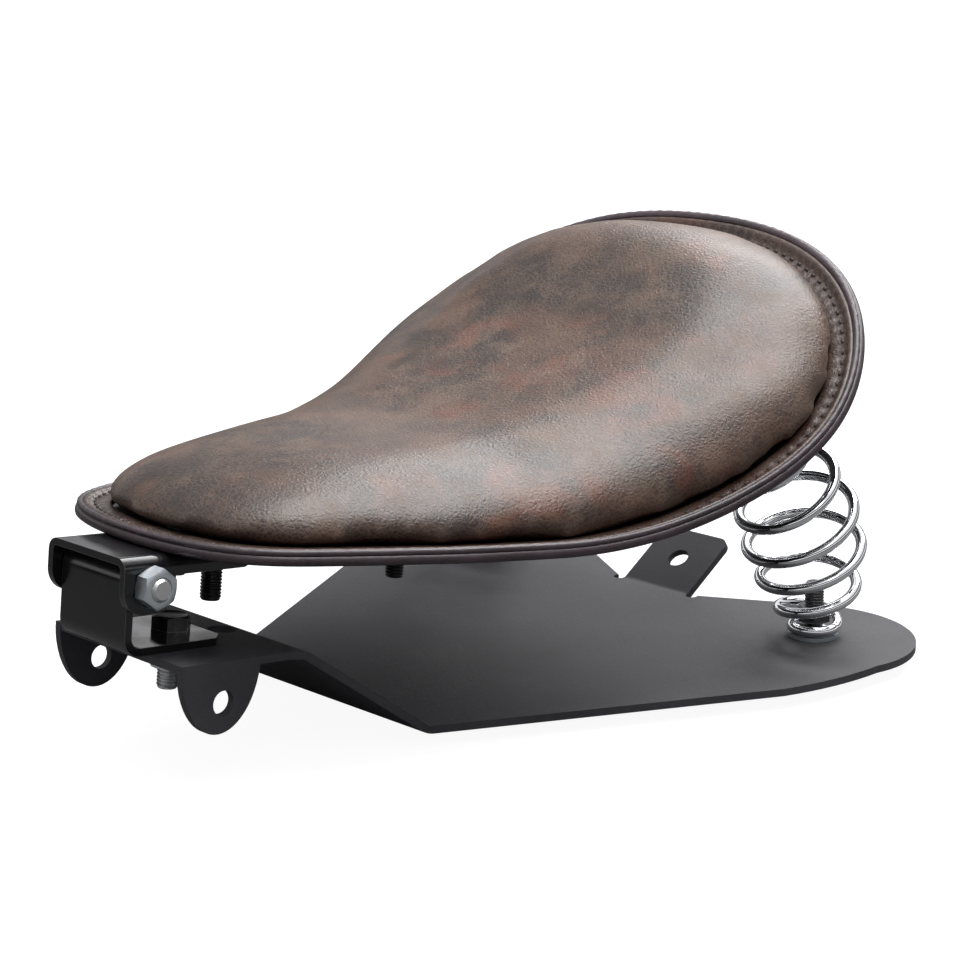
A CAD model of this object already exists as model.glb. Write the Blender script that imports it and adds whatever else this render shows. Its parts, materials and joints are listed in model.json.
import json
import math

import bmesh
import bpy
import numpy as np
from mathutils import Matrix, Vector


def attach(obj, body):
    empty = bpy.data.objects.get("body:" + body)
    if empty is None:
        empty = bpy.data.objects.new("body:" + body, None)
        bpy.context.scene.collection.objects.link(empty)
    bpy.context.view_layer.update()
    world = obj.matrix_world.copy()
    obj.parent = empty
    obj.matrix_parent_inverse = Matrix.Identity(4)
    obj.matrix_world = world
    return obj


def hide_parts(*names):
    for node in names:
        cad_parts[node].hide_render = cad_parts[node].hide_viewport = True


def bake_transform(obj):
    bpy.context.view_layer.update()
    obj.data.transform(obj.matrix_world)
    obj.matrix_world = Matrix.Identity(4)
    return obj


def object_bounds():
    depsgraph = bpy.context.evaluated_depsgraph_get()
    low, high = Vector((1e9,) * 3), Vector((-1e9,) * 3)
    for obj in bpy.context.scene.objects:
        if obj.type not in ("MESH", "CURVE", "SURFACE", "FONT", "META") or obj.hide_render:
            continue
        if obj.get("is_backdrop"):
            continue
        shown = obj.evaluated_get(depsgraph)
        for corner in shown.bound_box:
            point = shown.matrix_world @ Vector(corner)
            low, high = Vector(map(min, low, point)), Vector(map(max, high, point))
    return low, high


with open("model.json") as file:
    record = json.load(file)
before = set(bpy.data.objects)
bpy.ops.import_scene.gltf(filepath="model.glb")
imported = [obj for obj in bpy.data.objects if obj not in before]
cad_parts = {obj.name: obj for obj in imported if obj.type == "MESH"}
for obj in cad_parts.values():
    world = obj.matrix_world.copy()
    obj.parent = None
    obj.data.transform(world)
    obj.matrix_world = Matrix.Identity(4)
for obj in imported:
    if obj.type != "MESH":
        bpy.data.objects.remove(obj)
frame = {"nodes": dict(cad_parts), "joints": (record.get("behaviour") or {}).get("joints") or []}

CAD_BOX = [list(corner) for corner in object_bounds()]
NODES = frame["nodes"]
MM = 0.001

# ---------------------------------------------------------------- seat geometry, as in the CAD
TILT = math.radians(6.67)
RIDGE = (42.5, 34.7)
CHANNEL_TOP = 35.7
PAN_GAP = 1.45
PAN_THICK = 2.4
PAN_CLEAR = 0.5
SWEEP_START_X, SWEEP_FACTOR, SWEEP_POWER, DISH = -27.9, 0.001063, 2.195, 0.00035
FLANGE_WIDTH = 7.5
FLANGE_TOP = 4.1
PLAN_CENTRE = np.array([-80.0, 0.0])
PAD_CENTRE = np.array([-78.0, 0.0])
PAD_OVERLAP = 1.3
PAD_STATIONS = (-215.0, -185.0, -150.0, -108.0, -75.0, -30.0, 0.0, 70.0)
PAD_HEIGHTS = (41.0, 36.0, 34.5, 36.0, 34.5, 28.5, 25.5, 21.5)
TAB_BEND_X = -194.4
TAB_REACH = 17.9
TAB_RISE = math.radians(33.0)
HALF_SHEET = 1.5


def tongue_point(s, n):
    """X and Z, in mm ahead of and above the plate's bend, of a point on the tilted tongue."""
    x = RIDGE[0] + s * math.cos(TILT) - n * math.sin(TILT)
    z = RIDGE[1] + s * math.sin(TILT) + n * math.cos(TILT)
    return x, z


ORIGIN = (
    TAB_BEND_X - TAB_REACH * math.cos(TAB_RISE) - HALF_SHEET * math.sin(TAB_RISE),
    TAB_REACH * math.sin(TAB_RISE) - HALF_SHEET * math.cos(TAB_RISE),
)
TOP_POINT = tongue_point(0, CHANNEL_TOP + PAN_GAP)


def pan_z(x, y):
    past = np.maximum(0.0, SWEEP_START_X - x)
    line = TOP_POINT[1] + (x - TOP_POINT[0]) * math.tan(TILT)
    return line + SWEEP_FACTOR * past**SWEEP_POWER + DISH * y * y


def pan_normal(x, y):
    past = np.maximum(0.0, SWEEP_START_X - x)
    slope = math.tan(TILT) - SWEEP_FACTOR * SWEEP_POWER * past ** (SWEEP_POWER - 1)
    n = np.stack([-slope, -2 * DISH * y, np.ones_like(x + y)], axis=-1)
    return n / np.linalg.norm(n, axis=-1, keepdims=True)


def on_pan(xy, height):
    """Row-frame points, in metres, at a height (mm) above the pan's underside along its normal."""
    x, y = xy[..., 0], xy[..., 1]
    base = np.stack([x - ORIGIN[0], y, pan_z(x, y) - ORIGIN[1]], axis=-1)
    return (base + pan_normal(x, y) * np.asarray(height)[..., None]) * MM


def node_points(name):
    """CAD vertices of a node in mm, measured from the plate's bend."""
    co = np.array([v.co for v in NODES[name].data.vertices]) / MM
    return co + np.array([ORIGIN[0], 0, ORIGIN[1]])


RIM_BINS = 720
SMALLEST_REACH = 60.0
LARGEST_DIP = 3.0
FINE_STEPS = 4000
SMOOTH_REACH = 20


def rim_outline(count):
    """Plan outline of the pan, resampled evenly: points, outward normals and total length."""
    rel = node_points("seat_pan")[:, :2] - PLAN_CENTRE
    angle = np.arctan2(rel[:, 1], rel[:, 0])
    radius = np.linalg.norm(rel, axis=1)
    index = ((angle + math.pi) / math.tau * RIM_BINS).astype(int) % RIM_BINS
    best = {}
    for i, b in enumerate(index):
        if b not in best or radius[i] > radius[best[b]]:
            best[b] = i
    keep = np.array(sorted(best.values(), key=lambda i: angle[i]))
    a, r = angle[keep], radius[keep]
    edge = r > SMALLEST_REACH
    a, lows = a[edge], r[edge]
    for _ in range(3):
        around = np.maximum(np.roll(lows, 1), np.roll(lows, -1))
        good = lows > around - LARGEST_DIP
        a, lows = a[good], lows[good]
    theta = np.linspace(-math.pi, math.pi, FINE_STEPS, endpoint=False)
    rr = np.interp(theta, a, lows, period=math.tau)
    rr = (rr + rr[::-1]) / 2
    kernel = np.hanning(2 * SMOOTH_REACH + 1)
    kernel /= kernel.sum()
    wrapped_r = np.concatenate([rr[-SMOOTH_REACH:], rr, rr[:SMOOTH_REACH]])
    rr = np.convolve(wrapped_r, kernel, mode="valid")
    xy = PLAN_CENTRE + np.stack([rr * np.cos(theta), rr * np.sin(theta)], axis=-1)
    step = np.linalg.norm(np.roll(xy, -1, axis=0) - xy, axis=1)
    length = step.sum()
    s = np.concatenate([[0], np.cumsum(step)])
    wrapped = np.vstack([xy, xy[:1]])
    at = np.linspace(0, length, count, endpoint=False)
    pts = np.stack([np.interp(at, s, wrapped[:, 0]), np.interp(at, s, wrapped[:, 1])], axis=-1)
    tangent = np.roll(pts, -2, axis=0) - np.roll(pts, 2, axis=0)
    normal = np.stack([tangent[:, 1], -tangent[:, 0]], axis=-1)
    normal /= np.linalg.norm(normal, axis=1, keepdims=True)
    return pts, normal, length


STITCH_PITCH = 5.4
RIM_POINTS = 960
RIM, RIM_OUT, RIM_LENGTH = rim_outline(RIM_POINTS)
STITCHES = int(round(RIM_LENGTH / STITCH_PITCH))
PHASE = np.arange(RIM_POINTS) / RIM_POINTS * STITCHES


def inset_ring(distance):
    """Outline moved inwards by a distance, relaxed so tight corners stay smooth."""
    ring = RIM - RIM_OUT * distance
    for _ in range(int(6 + 2 * distance)):
        ring = 0.5 * ring + 0.25 * (np.roll(ring, 1, axis=0) + np.roll(ring, -1, axis=0))
    return ring


# ---------------------------------------------------------------- mesh helpers
def new_object(name, verts, faces, smooth=True):
    mesh = bpy.data.meshes.new(name)
    mesh.from_pydata([tuple(v) for v in verts], [], faces)
    mesh.update()
    if smooth:
        mesh.polygons.foreach_set("use_smooth", [True] * len(mesh.polygons))
    obj = bpy.data.objects.new(name, mesh)
    bpy.context.scene.collection.objects.link(obj)
    return obj


def ring_grid(rings, close_profile):
    """Vertices and quads of rings (each a closed loop of the same count), joined one to the next."""
    verts = np.concatenate(rings)
    n = len(rings[0])
    pairs = [(i, i + 1) for i in range(len(rings) - 1)]
    if close_profile:
        pairs.append((len(rings) - 1, 0))
    faces = []
    for a, b in pairs:
        for j in range(n):
            k = (j + 1) % n
            faces.append((a * n + j, a * n + k, b * n + k, b * n + j))
    return verts, faces


def fix_normals(obj):
    bm = bmesh.new()
    bm.from_mesh(obj.data)
    bmesh.ops.recalc_face_normals(bm, faces=bm.faces)
    bm.to_mesh(obj.data)
    bm.free()


def apply_modifiers(obj):
    depsgraph = bpy.context.evaluated_depsgraph_get()
    mesh = bpy.data.meshes.new_from_object(obj.evaluated_get(depsgraph))
    obj.modifiers.clear()
    obj.data = mesh


def bevel(obj, width, segments=3, angle=40):
    mod = obj.modifiers.new("edge", "BEVEL")
    mod.width = width * MM
    mod.segments = segments
    mod.limit_method = "ANGLE"
    mod.angle_limit = math.radians(angle)
    mod.harden_normals = True


def paint(obj, material):
    obj.data.materials.clear()
    obj.data.materials.append(material)


def place(obj, centre, axis, spin=0.0):
    """Bakes an object built along +Z at a row-frame centre (m) and axis."""
    turn = Vector((0, 0, 1)).rotation_difference(Vector(axis)).to_matrix().to_4x4()
    obj.data.transform(Matrix.Translation(Vector(centre)) @ turn @ Matrix.Rotation(spin, 4, "Z"))
    return obj


def join(objs, name):
    bm = bmesh.new()
    for obj in objs:
        bm.from_mesh(obj.data)
        bpy.data.objects.remove(obj)
    mesh = bpy.data.meshes.new(name)
    bm.to_mesh(mesh)
    bm.free()
    obj = bpy.data.objects.new(name, mesh)
    bpy.context.scene.collection.objects.link(obj)
    return obj


def islands(name):
    """Boxes (low, high) in metres of the separate solids of a CAD node."""
    mesh = NODES[name].data
    parent = list(range(len(mesh.vertices)))

    def root(i):
        while parent[i] != i:
            parent[i] = parent[parent[i]]
            i = parent[i]
        return i

    seen = {}
    for i, v in enumerate(mesh.vertices):
        key = tuple(round(c, 6) for c in v.co)
        if key in seen:
            parent[root(i)] = root(seen[key])
        else:
            seen[key] = i
    for e in mesh.edges:
        parent[root(e.vertices[0])] = root(e.vertices[1])
    groups = {}
    for i, v in enumerate(mesh.vertices):
        groups.setdefault(root(i), []).append(v.co[:])
    boxes = [(np.min(g, axis=0), np.max(g, axis=0)) for g in map(np.array, groups.values())]
    return sorted(boxes, key=lambda b: (round(b[0][0], 3), b[0][1]))


def centres(name):
    return [(low + high) / 2 for low, high in islands(name)]


# ---------------------------------------------------------------- materials
class Tree:
    """Small helper that builds a node tree line by line."""

    def __init__(self, name):
        self.material = bpy.data.materials.new(name)
        self.material.use_nodes = True
        self.tree = self.material.node_tree
        self.shader = self.tree.nodes["Principled BSDF"]
        self.coord = self.tree.nodes.new("ShaderNodeTexCoord").outputs["Object"]

    def link(self, source, target):
        if isinstance(source, (int, float)):
            target.default_value = source
        elif isinstance(source, (tuple, list)):
            target.default_value = source if len(source) == 4 else (*source, 1.0)
        else:
            self.tree.links.new(source, target)

    def noise(self, scale, detail=3.0, rough=0.55, distortion=0.0, vector=None):
        node = self.tree.nodes.new("ShaderNodeTexNoise")
        node.inputs["Scale"].default_value = scale
        node.inputs["Detail"].default_value = detail
        node.inputs["Roughness"].default_value = rough
        node.inputs["Distortion"].default_value = distortion
        self.link(vector or self.coord, node.inputs["Vector"])
        return node.outputs["Fac"]

    def cells(self, scale, feature="F1", vector=None, randomness=1.0):
        node = self.tree.nodes.new("ShaderNodeTexVoronoi")
        node.feature = feature
        node.inputs["Scale"].default_value = scale
        node.inputs["Randomness"].default_value = randomness
        self.link(vector or self.coord, node.inputs["Vector"])
        return node.outputs["Distance"]

    def warp(self, scale, amount):
        """Coordinates pushed about by noise, for creases that wander."""
        node = self.tree.nodes.new("ShaderNodeTexNoise")
        node.inputs["Scale"].default_value = scale
        self.link(self.coord, node.inputs["Vector"])
        add = self.tree.nodes.new("ShaderNodeVectorMath")
        add.operation = "MULTIPLY_ADD"
        self.link(node.outputs["Color"], add.inputs[0])
        add.inputs[1].default_value = (amount, amount, amount)
        self.link(self.coord, add.inputs[2])
        return add.outputs[0]

    def ramp(self, source, low, high, to_low=0.0, to_high=1.0):
        node = self.tree.nodes.new("ShaderNodeMapRange")
        node.interpolation_type = "SMOOTHSTEP"
        self.link(source, node.inputs["Value"])
        limits = {"From Min": low, "From Max": high, "To Min": to_low, "To Max": to_high}
        for key, value in limits.items():
            node.inputs[key].default_value = value
        return node.outputs["Result"]

    def math(self, operation, a, b=0.0):
        node = self.tree.nodes.new("ShaderNodeMath")
        node.operation = operation
        self.link(a, node.inputs[0])
        self.link(b, node.inputs[1])
        return node.outputs[0]

    def mix(self, factor, a, b, mode="MIX"):
        node = self.tree.nodes.new("ShaderNodeMix")
        node.data_type = "RGBA"
        node.blend_type = mode
        self.link(factor, node.inputs[0])
        self.link(a, node.inputs[6])
        self.link(b, node.inputs[7])
        return node.outputs[2]

    def bump(self, height, strength, distance, normal=None):
        node = self.tree.nodes.new("ShaderNodeBump")
        node.inputs["Strength"].default_value = strength
        node.inputs["Distance"].default_value = distance
        self.link(height, node.inputs["Height"])
        if normal is not None:
            self.link(normal, node.inputs["Normal"])
        return node.outputs["Normal"]

    def edges(self, radius):
        """Mask that is 1 on sharp edges within a radius, for wear."""
        node = self.tree.nodes.new("ShaderNodeBevel")
        node.samples = 4
        node.inputs["Radius"].default_value = radius
        geo = self.tree.nodes.new("ShaderNodeNewGeometry")
        dot = self.tree.nodes.new("ShaderNodeVectorMath")
        dot.operation = "DOT_PRODUCT"
        self.link(node.outputs[0], dot.inputs[0])
        self.link(geo.outputs["Normal"], dot.inputs[1])
        return self.ramp(dot.outputs["Value"], 0.995, 0.8)

    def finish(self, color, rough, metallic=0.0, normal=None, **extra):
        self.link(color, self.shader.inputs["Base Color"])
        self.link(rough, self.shader.inputs["Roughness"])
        self.link(metallic, self.shader.inputs["Metallic"])
        if normal is not None:
            self.link(normal, self.shader.inputs["Normal"])
        for key, value in extra.items():
            self.link(value, self.shader.inputs[key.replace("_", " ")])
        return self.material


def leather(name, dark, mid, tan, red, grain=1.0):
    """Distressed leather: mottled browns under a fine crinkled grain with rubbed-off ridges."""
    t = Tree(name)
    patches = t.ramp(t.noise(24, 5, 0.62, 0.5), 0.40, 0.58)
    clouds = t.ramp(t.noise(58, 6, 0.68, 0.3), 0.42, 0.66)
    embers = t.ramp(t.noise(31, 5, 0.62, 0.3), 0.52, 0.70)
    shade = t.ramp(t.noise(17, 3, 0.5, 0.5), 0.46, 0.66)
    crinkle = t.cells(520, "DISTANCE_TO_EDGE", t.warp(260, 0.0035))
    ridges = t.ramp(crinkle, 0.16, 0.0)
    crease = t.cells(85, "DISTANCE_TO_EDGE", t.warp(45, 0.02))
    fibres = t.noise(900, 5, 0.7, 1.2)
    color = t.mix(patches, dark, mid)
    color = t.mix(t.math("MULTIPLY", embers, 0.8), color, red)
    color = t.mix(t.math("MULTIPLY", clouds, 0.42), color, tan)
    color = t.mix(t.math("MULTIPLY", shade, 0.55), color, dark)
    rubbed = t.math("MULTIPLY", ridges, t.ramp(t.noise(75, 4, 0.6), 0.35, 0.65, 0.1, 0.6 * grain))
    color = t.mix(rubbed, color, tan)
    color = t.mix(t.ramp(fibres, 0.5, 0.66, 0.0, 0.3 * grain), color, tan)
    color = t.mix(t.ramp(fibres, 0.48, 0.34, 0.0, 0.35 * grain), color, dark)
    color = t.mix(t.ramp(crease, 0.02, 0.0, 0.0, 0.15 * grain), color, tan)
    rough = t.ramp(clouds, 0.0, 1.0, 0.34, 0.46)
    rough = t.math("ADD", rough, t.math("MULTIPLY", ridges, 0.08))
    normal = t.bump(t.noise(45, 3, 0.5), 0.25, 0.001)
    normal = t.bump(t.ramp(crease, 0.0, 0.06), 0.10 * grain, 0.0002, normal)
    normal = t.bump(crinkle, 0.55 * grain, 0.0005, normal)
    normal = t.bump(fibres, 0.35, 0.00025, normal)
    coat = {"Specular_IOR_Level": 0.5, "Coat_Weight": 0.22, "Coat_Roughness": 0.32}
    return t.finish(color, rough, 0.0, normal, **coat)


def powder_coat():
    t = Tree("powder_coat")
    grain = t.noise(2200, 4, 0.6)
    peel = t.noise(500, 3, 0.5)
    tone = t.noise(18, 3, 0.5)
    color = t.mix(t.ramp(tone, 0.3, 0.7), (0.046, 0.044, 0.050), (0.062, 0.059, 0.067))
    color = t.mix(t.ramp(grain, 0.55, 0.75, 0.0, 0.5), color, (0.15, 0.145, 0.155))
    color = t.mix(t.math("MULTIPLY", t.edges(0.0008), 0.55), color, (0.02, 0.02, 0.022))
    normal = t.bump(peel, 0.3, 0.0002)
    normal = t.bump(grain, 0.5, 0.00012, normal)
    rough = t.ramp(grain, 0.3, 0.7, 0.5, 0.68)
    return t.finish(color, rough, 0.0, normal, Specular_IOR_Level=0.45)


def gloss_paint(name, color, edge, rough_low, rough_high):
    t = Tree(name)
    dust = t.noise(900, 4, 0.6)
    smear = t.noise(60, 4, 0.6, 0.5)
    tone = t.mix(t.ramp(smear, 0.4, 0.7, 0.0, 0.4), color, [c * 1.7 for c in color])
    tone = t.mix(t.ramp(dust, 0.66, 0.8, 0.0, 0.35), tone, (0.1, 0.1, 0.1))
    tone = t.mix(t.math("MULTIPLY", t.edges(0.0005), 0.6), tone, edge)
    normal = t.bump(t.noise(350, 2, 0.5), 0.12, 0.0002)
    rough = t.ramp(smear, 0.3, 0.75, rough_low, rough_high)
    coat = {"Coat_Weight": 0.35, "Coat_Roughness": 0.12, "Specular_IOR_Level": 0.35}
    return t.finish(tone, rough, 0.0, normal, **coat)


def metal(name, color, dark, rough_low, rough_high, streak=400, bump=0.1, wear=0.0):
    t = Tree(name)
    stain = t.noise(70, 4, 0.6, 0.3)
    fine = t.noise(streak, 4, 0.65)
    tone = t.mix(t.ramp(stain, 0.35, 0.75), color, dark)
    if wear:
        tone = t.mix(t.math("MULTIPLY", t.edges(0.0005), wear), tone, (0.45, 0.44, 0.42))
    rough = t.ramp(fine, 0.3, 0.7, rough_low, rough_high)
    normal = t.bump(fine, bump, 0.00008)
    return t.finish(tone, rough, 1.0, normal)


def thread_wax(name, color):
    """Waxed sewing thread: fine twisted strands."""
    t = Tree(name)
    strand = t.noise(2600, 3, 0.6, 0.5)
    tone = t.mix(t.ramp(strand, 0.35, 0.7), color, [c * 2.1 for c in color])
    return t.finish(tone, t.ramp(strand, 0.3, 0.7, 0.5, 0.75), 0.0, t.bump(strand, 0.5, 0.0002))


def floor_material():
    """White paper: bright to the camera, greyer as a light source for the object."""
    t = Tree("studio_floor")
    tone = t.mix(t.ramp(t.noise(3, 3, 0.5), 0.3, 0.7), (0.22, 0.22, 0.23), (0.24, 0.24, 0.25))
    path = t.tree.nodes.new("ShaderNodeLightPath")
    tone = t.mix(path.outputs["Is Glossy Ray"], tone, (0.12, 0.12, 0.12))
    t.finish(tone, 0.8, 0.0, t.bump(t.noise(180, 3, 0.5), 0.03, 0.0005))
    t.link((1.0, 1.0, 1.0), t.shader.inputs["Emission Color"])
    t.link(t.math("MULTIPLY", path.outputs["Is Camera Ray"], 0.93), t.shader.inputs["Emission Strength"])
    return t.material


LEATHER = leather(
    "saddle_leather",
    dark=(0.012, 0.0052, 0.004),
    mid=(0.066, 0.029, 0.018),
    tan=(0.150, 0.094, 0.060),
    red=(0.130, 0.032, 0.014),
)
FLANGE_LEATHER = leather(
    "flange_leather",
    dark=(0.018, 0.009, 0.008),
    mid=(0.052, 0.025, 0.018),
    tan=(0.10, 0.068, 0.05),
    red=(0.095, 0.03, 0.018),
)
BINDING = leather(
    "binding_leather",
    dark=(0.016, 0.008, 0.011),
    mid=(0.032, 0.016, 0.022),
    tan=(0.065, 0.042, 0.052),
    red=(0.04, 0.017, 0.021),
    grain=0.4,
)
BEAD = leather(
    "bead_leather",
    dark=(0.022, 0.013, 0.017),
    mid=(0.043, 0.027, 0.034),
    tan=(0.10, 0.075, 0.088),
    red=(0.045, 0.022, 0.027),
    grain=0.4,
)
POWDER = powder_coat()
GLOSS = gloss_paint("gloss_black", (0.008, 0.008, 0.009), (0.16, 0.16, 0.17), 0.12, 0.28)
PAN_PAINT = gloss_paint("pan_paint", (0.02, 0.018, 0.02), (0.08, 0.08, 0.08), 0.35, 0.5)
CHROME = metal("spring_chrome", (0.86, 0.87, 0.89), (0.78, 0.79, 0.82), 0.03, 0.07, 900, 0.01)
ZINC = metal("zinc_plate", (0.76, 0.81, 0.85), (0.68, 0.73, 0.78), 0.34, 0.42, 700, 0.04)
OXIDE = metal("black_oxide", (0.10, 0.10, 0.104), (0.06, 0.06, 0.062), 0.26, 0.42, 600, 0.15, 0.6)
SILVER = metal("bare_thread", (0.82, 0.82, 0.82), (0.70, 0.70, 0.71), 0.34, 0.44, 700, 0.05)
THREAD = thread_wax("waxed_thread", (0.022, 0.015, 0.014))


# ---------------------------------------------------------------- padded leather top
def pad_mesh(overlap):
    """Closed crowned pad: top from the flange's inner edge up, and a bottom on the pan."""
    edge = inset_ring(FLANGE_WIDTH - overlap)

    def crown(xy, m):
        height = np.interp(xy[:, 0], PAD_STATIONS, PAD_HEIGHTS)
        return on_pan(xy, FLANGE_TOP - 0.2 + height * (1 - m**6) ** 0.5)

    rings = []
    for u in np.linspace(0, 1, PAD_RINGS)[:-1]:
        m = math.sin(math.pi / 2 * (1 - u)) if u > 0 else 1.0
        rings.append(crown(PAD_CENTRE + (edge - PAD_CENTRE) * m, m))
    floor = np.full(len(edge), PAN_THICK + PAN_CLEAR)
    under = [on_pan(PAD_CENTRE + (edge - PAD_CENTRE) * m, floor) for m in (0.05, 0.5, 0.97, 1.0)]
    verts, faces = ring_grid(under + rings, False)
    n = len(edge)
    top_centre = crown(PAD_CENTRE[None], 0.0)
    low_centre = on_pan(PAD_CENTRE[None], np.array([PAN_THICK + PAN_CLEAR]))
    verts = np.concatenate([verts, top_centre, low_centre])
    last = (len(under) + len(rings) - 1) * n
    t, b = len(verts) - 2, len(verts) - 1
    faces += [(last + j, last + (j + 1) % n, t) for j in range(n)]
    faces += [((j + 1) % n, j, b) for j in range(n)]
    obj = new_object("seat_leather", verts, faces)
    fix_normals(obj)
    return obj


PAD_RINGS = 60
CLOTH_PRESSURE = 4.0
CLOTH_FRAMES = 20
CLOTH_STIFFNESS = 18
SWELL_CAP = 3.5
FOOT_PINNED = 6.5
FOOT_FADE = 12.0


def inflate(obj, cap, voxel=5 * MM):
    """Cloth pressure swells the pad; its foot is pinned and no point moves past the cap."""
    remesh = obj.modifiers.new("remesh", "REMESH")
    remesh.mode = "VOXEL"
    remesh.voxel_size = voxel
    apply_modifiers(obj)
    co = np.array([v.co for v in obj.data.vertices])
    xy = co[:, :2] / MM + np.array([ORIGIN[0], 0])
    over = co[:, 2] / MM + ORIGIN[1] - pan_z(xy[:, 0], xy[:, 1])
    pin = obj.vertex_groups.new(name="foot")
    pin.add([int(i) for i in np.nonzero(over < FOOT_PINNED)[0]], 1.0, "REPLACE")
    cloth = obj.modifiers.new("cloth", "CLOTH")
    cloth.settings.use_pressure = True
    cloth.settings.uniform_pressure_force = CLOTH_PRESSURE
    cloth.settings.vertex_group_mass = "foot"
    cloth.settings.effector_weights.gravity = 0.0
    cloth.settings.tension_stiffness = CLOTH_STIFFNESS
    cloth.settings.compression_stiffness = CLOTH_STIFFNESS
    cloth.settings.bending_stiffness = 0.6
    cloth.point_cache.frame_start = 1
    cloth.point_cache.frame_end = CLOTH_FRAMES
    for frame_number in range(1, CLOTH_FRAMES + 1):
        bpy.context.scene.frame_set(frame_number)
    apply_modifiers(obj)
    after = np.array([v.co for v in obj.data.vertices])
    move = after - co
    far = np.linalg.norm(move, axis=1, keepdims=True)
    move *= np.minimum(1.0, cap * MM / np.maximum(far, 1e-9))
    move *= np.clip((over - FOOT_PINNED) / FOOT_FADE, 0.0, 1.0)[:, None]
    final = co + move
    obj.data.vertices.foreach_set("co", final.ravel())
    obj.data.update()
    obj.vertex_groups.clear()
    bpy.context.scene.frame_set(1)
    smooth = obj.modifiers.new("smooth", "CORRECTIVE_SMOOTH")
    smooth.use_only_smooth = True
    smooth.iterations = 8
    apply_modifiers(obj)
    sub = obj.modifiers.new("sub", "SUBSURF")
    sub.levels = 1
    sub.render_levels = 1
    apply_modifiers(obj)
    obj.data.polygons.foreach_set("use_smooth", [True] * len(obj.data.polygons))


pad = pad_mesh(PAD_OVERLAP)
inflate(pad, SWELL_CAP)
paint(pad, LEATHER)
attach(pad, "seat")
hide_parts("seat_cover", "seat_foam")


# ---------------------------------------------------------------- flange, bead and binding
def strip_object(name, profile, material, closed=True):
    """Loop of a cross-section round the rim. profile(phase) lists (outward, height) arrays."""
    rings = []
    for outward, height in profile:
        xy = RIM + RIM_OUT * np.broadcast_to(outward, (RIM_POINTS,))[:, None]
        if np.min(outward) < -4.5:
            deep = inset_ring(float(-np.mean(outward)))
            xy = deep + RIM_OUT * (np.broadcast_to(outward, (RIM_POINTS,)) - np.mean(outward))[:, None]
        rings.append(on_pan(xy, np.broadcast_to(height, (RIM_POINTS,))))
    verts, faces = ring_grid(rings, closed)
    obj = new_object(name, verts, faces)
    fix_normals(obj)
    paint(obj, material)
    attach(obj, "seat")
    return obj


rng = np.random.default_rng(7)
jitter = np.interp(PHASE, np.arange(STITCHES + 1), rng.uniform(0.5, 1.4, STITCHES + 1))
pucker = np.cos(math.tau * PHASE)
profile = []
for outward in (-11.5, -10.5, -9.5, -8.5, -7.5, -6.8, -6.0, -5.2, -4.4, -3.4, -2.4, -1.6):
    near = math.exp(-(((outward + 5.4) / 2.0) ** 2))
    roll = 0.9 * math.exp(-(((outward + 2.4) / 1.4) ** 2))
    profile.append((outward, FLANGE_TOP - 0.55 + roll - near * jitter * (0.42 + 0.42 * pucker)))
profile += [(-1.0, FLANGE_TOP - 0.9), (-1.2, PAN_THICK + 0.6), (-11.5, PAN_THICK + 0.6)]
flange = strip_object("leather_flange", profile, FLANGE_LEATHER)
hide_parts("cover_flange")

BEAD_SIDES = 14
bead_radius = 1.25 + 0.07 * jitter * pucker
profile = []
for k in range(BEAD_SIDES):
    a = math.tau * k / BEAD_SIDES
    outward = -0.2 + bead_radius * math.cos(a)
    profile.append((outward, FLANGE_TOP - 0.9 + bead_radius * math.sin(a)))
strip_object("rim_bead", profile, BEAD)

scallop = np.abs(np.sin(math.pi * PHASE)) ** 0.7
profile = [
    (-1.0, 2.4), (0.4, 2.5), (1.2, 2.0), (1.55, 1.1), (1.6, 0.2), (1.35, -0.7), (0.7, -1.15),
    (-0.5, -1.3),
    (-2.5, -1.32), (-4.4, -1.3 + 0.2 * scallop), (-6.6, -1.25 + 0.1 * scallop), (-8.6, -1.32),
    (-9.9 - 1.3 * scallop, -1.15), (-10.1 - 1.3 * scallop, -0.6), (-9.6 - 1.2 * scallop, -0.15),
    (-6.0, -0.12), (-0.6, -0.12), (0.25, 0.3), (0.3, 1.4),
]
binding = strip_object("rim_binding_wrap", profile, BINDING)
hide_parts("rim_binding")


def stitch_object(name, inset, height, down, length, radius, material):
    """Row of sewn stitches: short arched capsules that dive into the leather at both ends."""
    ring = inset_ring(inset)
    seg, around = 9, 8
    verts, faces = [], []
    lap = np.concatenate([ring, ring[:1]])
    for k in range(STITCHES):
        mid = (k + 0.5) / STITCHES
        half = length / 2 / RIM_LENGTH
        base = len(verts)
        for i in range(seg):
            u = i / (seg - 1) * 2 - 1
            at = ((mid + half * u) % 1.0) * RIM_POINTS
            j = int(at)
            xy = lap[j] * (1 - at + j) + lap[j + 1] * (at - j)
            nxt = lap[(j + 1) % RIM_POINTS] - lap[j]
            nxt /= np.linalg.norm(nxt)
            side = np.array([nxt[1], -nxt[0]])
            arch = (1 - u**4) * 0.55 - 0.45
            width = radius * (1 - 0.45 * u**6)
            for a in range(around):
                c, s = math.cos(math.tau * a / around), math.sin(math.tau * a / around)
                h = height + down * (arch + width * s)
                verts.append(on_pan((xy + side * width * c)[None], np.array([h]))[0])
        for i in range(seg - 1):
            for a in range(around):
                b = (a + 1) % around
                faces.append((base + i * around + a, base + i * around + b,
                              base + (i + 1) * around + b, base + (i + 1) * around + a))
        faces.append(tuple(base + a for a in range(around)))
        faces.append(tuple(base + (seg - 1) * around + a for a in range(around)))
    obj = new_object(name, verts, faces)
    fix_normals(obj)
    paint(obj, material)
    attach(obj, "seat")
    return obj


stitch_object("flange_stitches", 5.4, FLANGE_TOP - 0.8, 1.0, 2.6, 0.62, THREAD)
stitch_object("under_stitches", 7.6, -1.3, -1.0, 3.9, 0.5, THREAD)


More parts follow.
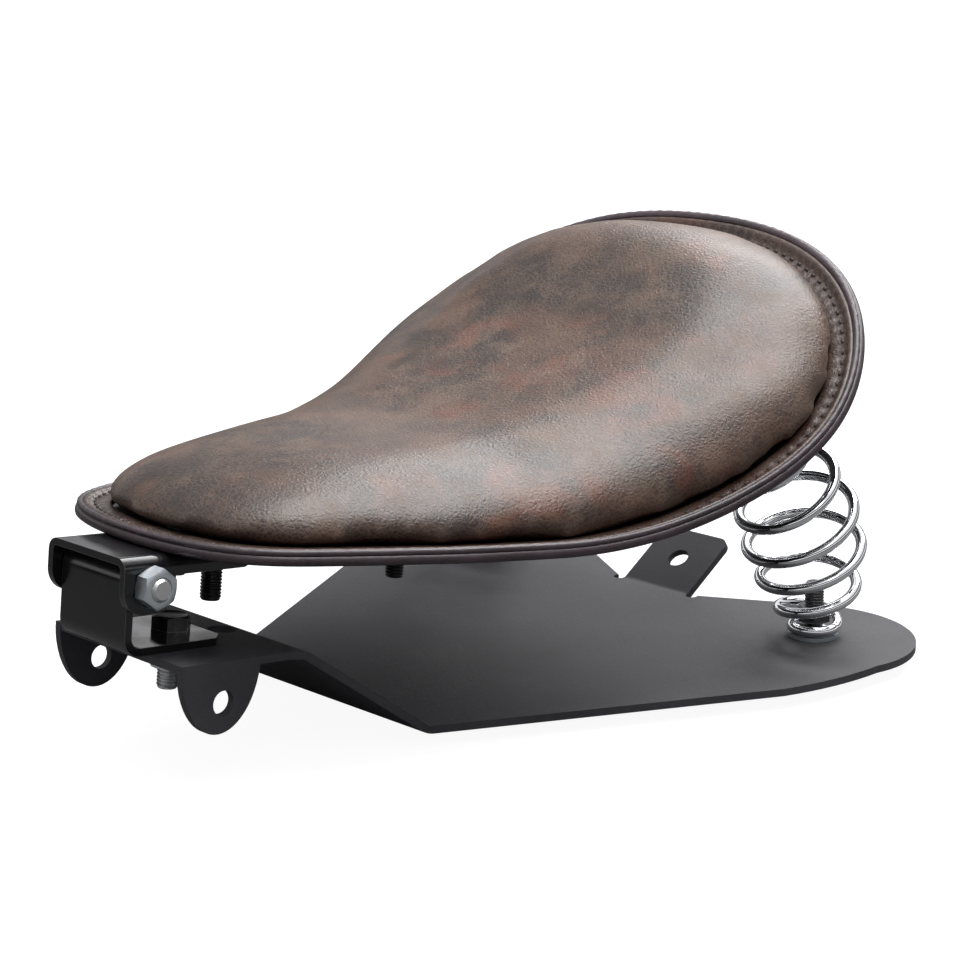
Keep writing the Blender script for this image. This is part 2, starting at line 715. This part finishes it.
# ---------------------------------------------------------------- springs
def coil_path(low, high):
    """Wire path in metres: a flat end loop, a barrel coil on a bent axis, a flat end loop."""
    arm = COIL_ARM * MM
    p0 = low
    p1 = low + np.array([0, 0, arm])
    p2 = high - pan_normal_at(high) * arm
    p3 = high
    count = int(COIL_TURNS * COIL_STEPS_PER_TURN)
    swell_turns = COIL_TURNS - 2 * END_LOOP_TURNS
    points = []
    for k in range(count + 1):
        turn = COIL_TURNS * k / count
        u = min(1.0, max(0.0, (turn - END_LOOP_TURNS) / swell_turns))
        v = 1 - u
        c = p0 * v**3 + p1 * 3 * u * v * v + p2 * 3 * u * u * v + p3 * u**3
        axis = (p1 - p0) * v * v + (p2 - p1) * 2 * u * v + (p3 - p2) * u * u
        axis /= np.linalg.norm(axis)
        across = np.cross([0, 1, 0], axis)
        across /= np.linalg.norm(across)
        swell = math.sin(math.pi * u) ** 0.8 if 0 < u < 1 else 0.0
        r = (END_LOOP_R + (COIL_R - END_LOOP_R) * swell) * MM
        a = math.radians(COIL_START_DEG) + turn * math.tau
        points.append(c + (across * math.cos(a) + np.cross(axis, across) * math.sin(a)) * r)
    return np.array(points)


def pan_normal_at(point):
    x, y = point[0] / MM + ORIGIN[0], point[1] / MM
    return pan_normal(np.array(x), np.array(y))


def tube(name, points, radius, around=14):
    """Round wire along points with domed ends."""
    tangent = np.gradient(points, axis=0)
    tangent /= np.linalg.norm(tangent, axis=1, keepdims=True)
    side = np.cross(tangent[0], [0.0, 0.0, 1.0])
    side /= np.linalg.norm(side)
    rings = []
    ends = [(0, -0.7, 0.3), (0, -0.45, 0.75), (0, 0, 1.0)]
    stations = [(0, e[1], e[2]) for e in ends] + [(i, 0, 1.0) for i in range(1, len(points) - 1)]
    stations += [(len(points) - 1, -e[1], e[2]) for e in reversed(ends)]
    for i, push, scale in stations:
        t = tangent[i]
        side = side - t * np.dot(side, t)
        side /= np.linalg.norm(side)
        up = np.cross(t, side)
        angles = np.linspace(0, math.tau, around, endpoint=False)
        circle = np.outer(np.cos(angles), side) + np.outer(np.sin(angles), up)
        rings.append(points[i] + t * push * radius * 0.6 + circle * radius * scale)
    verts, faces = ring_grid(rings, False)
    n = len(verts)
    faces.append(tuple(range(around)))
    faces.append(tuple(range(n - around, n)))
    obj = new_object(name, verts, faces)
    fix_normals(obj)
    return obj


WIRE = 2.3
END_LOOP_R = 8.8
COIL_R = 23.3
COIL_ARM = 30.0
COIL_TURNS = 7.0
END_LOOP_TURNS = 0.75
COIL_START_DEG = 200.0
COIL_STEPS_PER_TURN = 56
HALF_WASHER = 0.8
WIRE_CLEAR = 0.1
BLEND_INSET = 3.0
SPRING_BASES = sorted(centres("spring_lower_washers"), key=lambda c: -c[1])
SPRING_TOPS = sorted(centres("spring_upper_washers"), key=lambda c: -c[1])
for side, base, top in zip(("left", "right"), SPRING_BASES, SPRING_TOPS):
    seat_gap = (HALF_WASHER + WIRE + WIRE_CLEAR) * MM
    low = base + np.array([0, 0, seat_gap])
    high = top - pan_normal_at(top) * seat_gap
    spring = tube(f"coil_spring_{side}", coil_path(low, high), WIRE * MM)
    paint(spring, CHROME)
    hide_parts(f"spring_{side}")
    end = high - pan_normal_at(high) * BLEND_INSET * MM
    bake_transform(spring)


# ---------------------------------------------------------------- hardware
FLATS = 13.0
NUT_HEIGHT = 6.5
HEAD_HEIGHT = 5.3
HEX_SAMPLES = 96
PIVOT_HALF_WIDTH = 19.0
CHANNEL_GAP = 0.7
CHANNEL_SHEET = 2.6
CHANNEL_HALF_WIDTH = PIVOT_HALF_WIDTH + CHANNEL_GAP + CHANNEL_SHEET
HINGE_BOLT_PAST_NUT = 1.0
PIVOT_BOLT_S = 30.8
PIVOT_SHEET = 3.0
PIVOT_BOLT_LENGTH = 22.0


def hex_radius(angle):
    return (FLATS / 2) / np.cos((angle % (math.pi / 3)) - math.pi / 6)


def hex_rings(z_low, z_high, chamfer_low, chamfer_high):
    """Rings of a hexagon with round-chamfered faces, in mm, from its low face to its high face."""
    angles = np.linspace(0, math.tau, HEX_SAMPLES, endpoint=False)
    rho = hex_radius(angles)
    flat_r = FLATS / 2 * 0.95
    drop = (rho - flat_r) * math.tan(math.radians(30))
    c, s = np.cos(angles), np.sin(angles)

    def ring(r, z):
        z = np.broadcast_to(z, (HEX_SAMPLES,))
        return np.stack([r * c, r * s, z], axis=-1) * MM

    rings = []
    if chamfer_low:
        rings += [ring(np.full_like(rho, flat_r), z_low), ring(rho, z_low + drop)]
    else:
        rings += [ring(rho, z_low)]
    if chamfer_high:
        rings += [ring(rho, z_high - drop), ring(np.full_like(rho, flat_r), z_high)]
    else:
        rings += [ring(rho, z_high)]
    return rings, ring


def hex_nut(height=NUT_HEIGHT):
    rings, ring = hex_rings(-height / 2, height / 2, True, True)
    bore = [(4.45, height / 2), (3.95, height / 2 - 0.6), (3.95, -height / 2 + 0.6), (4.45, -height / 2)]
    rings += [ring(np.full(HEX_SAMPLES, r), z) for r, z in bore]
    verts, faces = ring_grid(rings, True)
    obj = new_object("nut", verts, faces, smooth=False)
    fix_normals(obj)
    return obj


def hex_head(height=HEAD_HEIGHT):
    """Hex head on Z = 0 with a shallow round recess in its free face."""
    rings, ring = hex_rings(0, height, False, True)
    tiny = 0.01
    rings.insert(0, ring(np.full(HEX_SAMPLES, tiny), 0.0))
    recess = [(5.6, 0.02), (5.35, 0.18), (tiny, 0.2)]
    rings += [ring(np.full(HEX_SAMPLES, r), height - depth) for r, depth in recess]
    verts, faces = ring_grid(rings, False)
    obj = new_object("head", verts, faces, smooth=False)
    fix_normals(obj)
    return obj


def threaded_rod(length, plain=0.0, radius=4.0, pitch=1.25, around=36):
    """Rod from Z = 0 down to -length: a plain stretch, a helical thread and a chamfered end."""
    depth = 0.55
    step = pitch / 10
    rows = int(length / step)
    rings = []
    angles = np.linspace(0, math.tau, around, endpoint=False)
    for k in range(rows + 1):
        z = length * k / rows
        phase = ((z / pitch) - angles / math.tau) % 1.0
        wave = np.abs(phase * 2 - 1)
        cut = depth * np.clip((wave - 0.12) * 1.2, 0, 1)
        fade = min(1.0, max(0.0, (z - plain) / 1.5))
        r = radius - cut * fade
        tip = length - z
        if tip < 1.0:
            r = np.minimum(r, radius - 0.75 + 0.75 * tip)
        ring = np.stack([r * np.cos(angles), r * np.sin(angles), np.full(around, -z)], axis=-1)
        rings.append(ring * MM)
    verts, faces = ring_grid(rings, False)
    n = len(verts)
    faces.append(tuple(range(around)))
    faces.append(tuple(range(n - around, n)))
    obj = new_object("rod", verts, faces)
    fix_normals(obj)
    return obj


def nuts(name, node, axis_of, material, body, spin=0.3):
    parts = []
    for k, centre in enumerate(centres(node)):
        parts.append(place(hex_nut(), centre, axis_of(centre), spin + 0.35 * k))
    obj = join(parts, name)
    smooth_by_angle(obj)
    paint(obj, material)
    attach(obj, body)
    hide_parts(node)
    return obj


def smooth_by_angle(obj, degrees=32):
    mesh = obj.data
    mesh.polygons.foreach_set("use_smooth", [True] * len(mesh.polygons))
    mesh.set_sharp_from_angle(angle=math.radians(degrees))


TONGUE_UP = (-math.sin(TILT), 0, math.cos(TILT))
HINGE = np.array(frame["joints"][0]["pos_m"])



def up(centre):
    return (0, 0, 1)


def left(centre):
    return (0, 1, 0)


def under_tongue(centre):
    return tuple(-Vector(TONGUE_UP))


def under_pan(centre):
    return tuple(-pan_normal_at(centre))


nuts("spring_base_nuts", "spring_lower_nuts", up, OXIDE, "base")
nuts("spring_stud_nuts", "spring_upper_nuts", under_pan, OXIDE, "seat")
nuts("channel_nuts", "bracket_nuts", under_tongue, ZINC, "seat")
nuts("hinge_lock_nut", "hinge_nut", left, ZINC, "seat")
nuts("pivot_nut", "pivot_bracket_nut", under_tongue, ZINC, "base", 0.1)


def whole_bolt(name, head_base, axis, length, plain, body, node, spin):
    """Black bolt with a bare shank: head's underside at head_base, head along axis."""
    head = place(hex_head(), head_base, axis, spin)
    smooth_by_angle(head)
    rod = place(threaded_rod(length, plain), head_base, axis)
    obj = join([head, rod], name)
    smooth_by_angle(obj, 40)
    paint(obj, OXIDE)
    obj.data.materials.append(SILVER)
    base, direction = Vector(head_base), Vector(axis)
    for poly in obj.data.polygons:
        if (poly.center - base).dot(direction) < -0.0002:
            poly.material_index = 1
    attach(obj, body)
    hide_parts(node)
    return obj


hinge_seat = HINGE - np.array([0, CHANNEL_HALF_WIDTH * MM, 0])
hinge_length = 2 * CHANNEL_HALF_WIDTH + NUT_HEIGHT + HINGE_BOLT_PAST_NUT
whole_bolt("hinge_cross_bolt", hinge_seat, (0, -1, 0), hinge_length, 30, "seat", "hinge_bolt", 0.4)
x, z = tongue_point(PIVOT_BOLT_S, PIVOT_SHEET)
pivot_seat = np.array([x - ORIGIN[0], 0, z - ORIGIN[1]]) * MM
whole_bolt("pivot_hex_bolt", pivot_seat, TONGUE_UP, PIVOT_BOLT_LENGTH, 6, "base", "pivot_bracket_bolt", 0.75)

lower = []
for low, high in islands("spring_lower_bolts"):
    centre = (low + high) / 2
    seat_at = np.array([centre[0], centre[1], low[2] + HEAD_HEIGHT * MM])
    length = (high[2] - low[2]) / MM - HEAD_HEIGHT
    head = place(hex_head(), seat_at, (0, 0, -1), 0.2)
    rod = place(threaded_rod(length, 5), seat_at, (0, 0, -1))
    lower += [head, rod]
obj = join(lower, "spring_base_bolts")
smooth_by_angle(obj, 40)
paint(obj, OXIDE)
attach(obj, "base")
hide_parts("spring_lower_bolts")

LONG_STUD = 26.0
SHORT_STUD = 15.0
SHORT_STUD_PAST_X = 60.0
STUD_ABOVE_PAN = 4.5
STUD_END_GAP = 0.5
STUD_PLAIN = 3.0
STUD_HEAD_THICK = 1.4
STUD_HEAD_R = 5.5
studs = []
for low, high in islands("pan_studs"):
    centre = (low + high) / 2
    xm = centre[0] / MM + ORIGIN[0]
    axis = Vector(TONGUE_UP) if xm > SWEEP_START_X else Vector(pan_normal_at(centre))
    below = SHORT_STUD if xm > SHORT_STUD_PAST_X else LONG_STUD
    top = Vector(centre) + axis * 0.5 * (below + STUD_ABOVE_PAN) * MM
    rod = place(threaded_rod(below + STUD_ABOVE_PAN - STUD_END_GAP, STUD_PLAIN), top, tuple(axis))
    disc = place(threaded_rod(STUD_HEAD_THICK, STUD_HEAD_THICK, STUD_HEAD_R), top, tuple(axis))
    studs += [rod, disc]
obj = join(studs, "pan_threaded_studs")
smooth_by_angle(obj, 40)
paint(obj, OXIDE)
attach(obj, "seat")
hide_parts("pan_studs")

# ---------------------------------------------------------------- CAD nodes that stay
for name, material, width in (
    ("base_plate", POWDER, 0.45),
    ("pivot_bracket", GLOSS, 0.35),
    ("seat_bracket", GLOSS, 0.35),
    ("pivot_bracket_washer", ZINC, 0.2),
    ("spring_lower_washers", ZINC, 0.25),
    ("bracket_washers", ZINC, 0.2),
    ("spring_upper_washers", OXIDE, 0.25),
    ("seat_pan", PAN_PAINT, 0.3),
):
    bevel(NODES[name], width)
    paint(NODES[name], material)

# ---------------------------------------------------------------- studio
low, high = (np.array(c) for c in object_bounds())
floor_mesh = bpy.data.meshes.new("floor")
bm = bmesh.new()
bmesh.ops.create_grid(bm, x_segments=4, y_segments=4, size=6.0)
bm.to_mesh(floor_mesh)
bm.free()
floor = bpy.data.objects.new("floor", floor_mesh)
floor.location = (0, 0, float(low[2]) - 0.0005)
bpy.context.scene.collection.objects.link(floor)
paint(floor, floor_material())
floor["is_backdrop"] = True

CAMERA_AZIMUTH = math.radians(135.0)
CAMERA_ELEVATION = math.radians(14.2)
CAMERA_LENS = 85.7
CAMERA_PLACE = (547.23, 631.45, 293.91)


def toward(azimuth, elevation):
    """Unit vector from the object towards a place at this azimuth and elevation, in radians."""
    flat = math.cos(elevation)
    return Vector((math.sin(azimuth) * flat, -math.cos(azimuth) * flat, math.sin(elevation)))


camera_data = bpy.data.cameras.new("camera")
camera_data.lens = CAMERA_LENS
camera_data.sensor_width = 36.0
camera_data.clip_start = 0.01
camera = bpy.data.objects.new("camera", camera_data)
camera.location = (Vector(CAMERA_PLACE) - Vector((ORIGIN[0], 0, ORIGIN[1]))) * MM
camera.rotation_euler = toward(CAMERA_AZIMUTH, CAMERA_ELEVATION).to_track_quat("Z", "Y").to_euler()
bpy.context.scene.collection.objects.link(camera)
bpy.context.scene.camera = camera
middle = Vector((CAD_BOX[0][i] + CAD_BOX[1][i]) / 2 for i in range(3))


def area_light(name, azimuth, elevation, distance, size, power):
    data = bpy.data.lights.new(name, "AREA")
    data.shape = "RECTANGLE"
    data.size, data.size_y = size
    data.energy = power
    away = toward(math.radians(azimuth), math.radians(elevation))
    light = bpy.data.objects.new(name, data)
    light.location = middle + away * distance
    light.rotation_euler = away.to_track_quat("Z", "Y").to_euler()
    bpy.context.scene.collection.objects.link(light)


area_light("top_box", 240, 78, 1.3, (1.0, 1.0), 21)
area_light("back_box", 285, 40, 1.5, (1.2, 0.6), 13)
area_light("left_box", 60, 45, 1.6, (0.6, 0.8), 1.6)
area_light("front_box", 150, 50, 1.9, (0.5, 0.5), 1.8)

world = bpy.data.worlds.new("studio")
bpy.context.scene.world = world
world.use_nodes = True
nodes, links = world.node_tree.nodes, world.node_tree.links


def sky_ramp(stops):
    node = nodes.new("ShaderNodeValToRGB")
    elements = node.color_ramp.elements
    while len(elements) < len(stops):
        elements.new(0.5)
    for element, (position, level) in zip(elements, stops):
        element.position = position
        element.color = (level, level, level * 1.02, 1)
    links.new(height.outputs["Z"], node.inputs[0])
    return node.outputs[0]


coord = nodes.new("ShaderNodeTexCoord")
height = nodes.new("ShaderNodeSeparateXYZ")
links.new(coord.outputs["Generated"], height.inputs[0])
path = nodes.new("ShaderNodeLightPath")
soft = sky_ramp([(0.0, 0.15), (0.5, 0.3), (1.0, 0.5)])
bands = [(0.0, 0.02), (0.10, 0.03), (0.16, 0.9), (0.30, 1.0), (0.36, 0.05), (0.55, 0.12)]
banded = sky_ramp(bands + [(0.62, 1.0), (1.0, 0.7)])
mix_gloss = nodes.new("ShaderNodeMix")
mix_gloss.data_type = "RGBA"
links.new(path.outputs["Is Glossy Ray"], mix_gloss.inputs[0])
links.new(soft, mix_gloss.inputs[6])
links.new(banded, mix_gloss.inputs[7])
mix_camera = nodes.new("ShaderNodeMix")
mix_camera.data_type = "RGBA"
links.new(path.outputs["Is Camera Ray"], mix_camera.inputs[0])
links.new(mix_gloss.outputs[2], mix_camera.inputs[6])
mix_camera.inputs[7].default_value = (1, 1, 1, 1)
links.new(mix_camera.outputs[2], nodes["Background"].inputs[0])
nodes["Background"].inputs[1].default_value = 1.0
bpy.context.scene.view_settings.view_transform = "Standard"

VISUAL_BOX = [list(corner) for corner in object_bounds()]
{"cad": [[float(v) for v in c] for c in CAD_BOX], "visual": [[float(v) for v in c] for c in VISUAL_BOX]}
